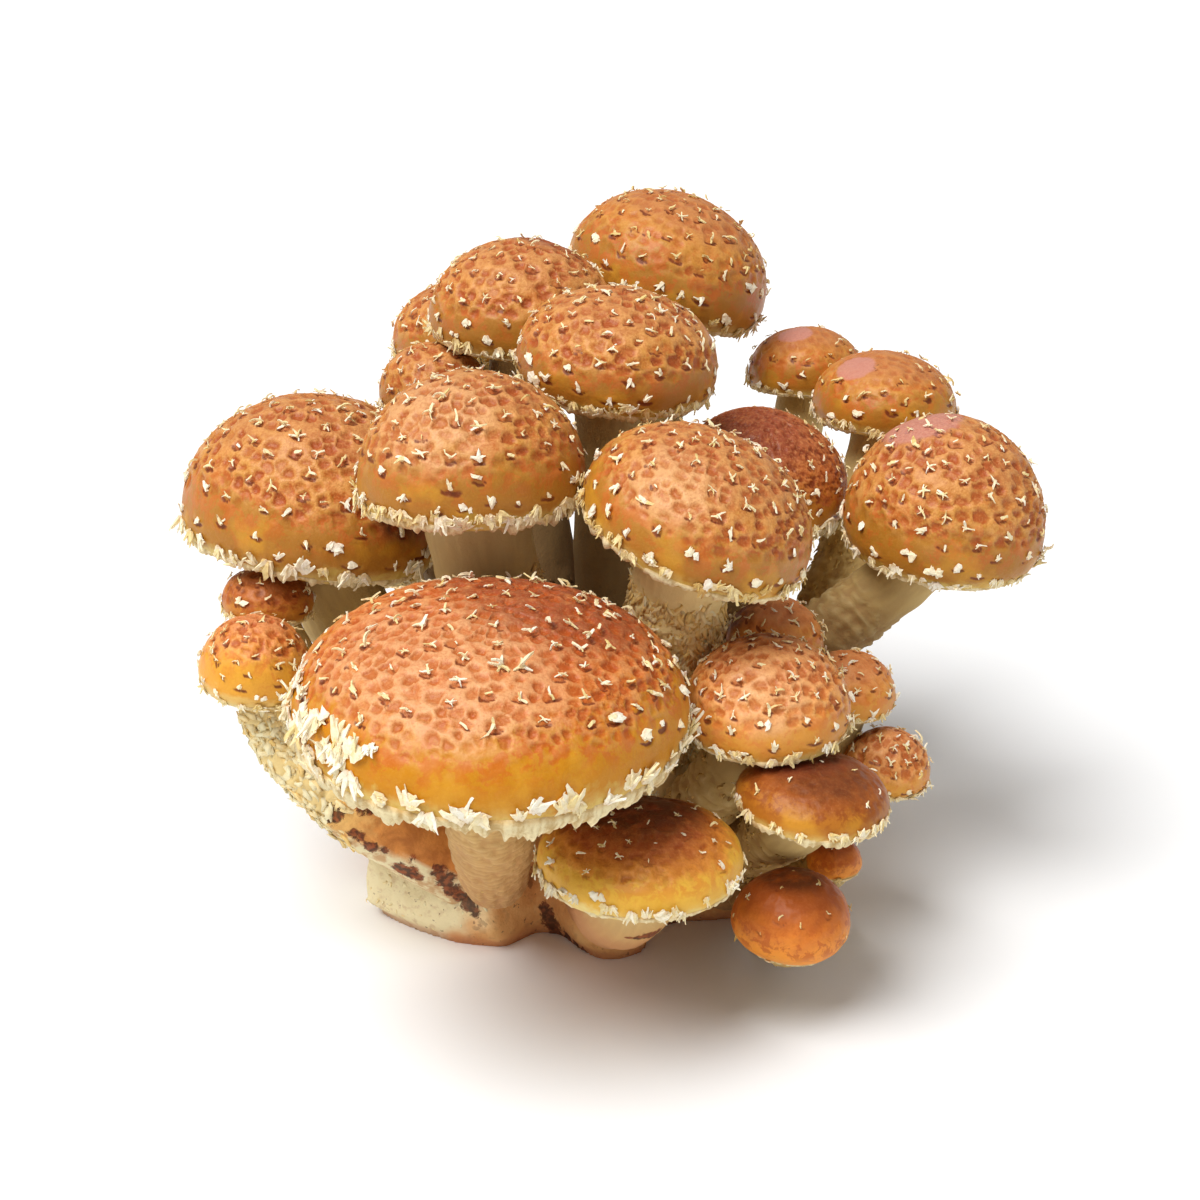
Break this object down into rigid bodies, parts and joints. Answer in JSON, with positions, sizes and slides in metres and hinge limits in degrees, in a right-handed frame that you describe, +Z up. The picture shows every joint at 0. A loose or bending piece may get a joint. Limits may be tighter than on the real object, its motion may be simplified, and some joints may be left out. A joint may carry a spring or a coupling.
{
  "type": "chestnut mushroom",
  "caption": "Cluster of scaly orange chestnut mushrooms with domed caps, cream flakes and shaggy stems, grown together on one fleshy base that is cut off flat.",
  "frame": {"origin": "centre of the flat cut under the base clump, where the cluster was taken off its wood", "axes": "+Z up from the cut, -Y towards the side with the largest cap, +X to the right as seen from that side"},
  "size_m": [0.1429, 0.1528, 0.1084],
  "materials": {
    "cap_orange": "moist satin, glossy where wet",
    "cap_russet": "fine rough satin",
    "cap_honey": "moist satin",
    "cap_brown": "moist satin",
    "scale_cream": "matte, soft",
    "gill_flesh": "matte",
    "stem_flesh": "matte, fibrous",
    "base_flesh": "matte, fibrous"
  },
  "bodies": {
    "root": {"base_clump": "base_flesh", "front_large_cap": "cap_orange", "front_large_stem": "stem_flesh", "centre_left_cap": "cap_orange", "centre_left_stem": "stem_flesh", "left_large_cap": "cap_orange", "left_large_stem": "stem_flesh", "centre_right_cap": "cap_orange", "centre_right_stem": "stem_flesh", "right_large_cap": "cap_orange", "right_large_stem": "stem_flesh", "top_back_cap": "cap_orange", "top_back_stem": "stem_flesh", "top_front_cap": "cap_orange", "top_front_stem": "stem_flesh", "top_left_cap": "cap_orange", "top_left_stem": "stem_flesh", "front_low_cap": "cap_honey", "front_low_stem": "stem_flesh", "centre_back_cap": "cap_russet", "centre_back_stem": "stem_flesh", "top_left_back_cap": "cap_orange", "top_left_back_stem": "stem_flesh", "right_back_cap": "cap_orange", "right_back_stem": "stem_flesh", "right_front_cap": "cap_orange", "right_front_stem": "stem_flesh", "right_low_cap": "cap_honey", "right_low_stem": "stem_flesh", "far_right_back_cap": "cap_orange", "far_right_back_stem": "stem_flesh", "left_behind_cap": "cap_orange", "left_behind_stem": "stem_flesh", "left_small_cap": "cap_orange", "left_small_stem": "stem_flesh", "left_upper_small_cap": "cap_honey", "left_upper_small_stem": "stem_flesh", "right_under_cap": "cap_brown", "right_under_stem": "stem_flesh", "right_side_cap": "cap_brown", "right_side_stem": "stem_flesh", "right_edge_cap": "cap_orange", "right_edge_stem": "stem_flesh", "front_bud_cap": "cap_brown", "front_bud_stem": "stem_flesh", "right_bud_cap": "cap_brown", "right_bud_stem": "stem_flesh", "back_left_cap": "cap_orange", "back_left_stem": "stem_flesh", "back_right_cap": "cap_orange", "back_right_stem": "stem_flesh", "back_bud_cap": "cap_brown", "back_bud_stem": "stem_flesh"}
  },
  "joints": []
}
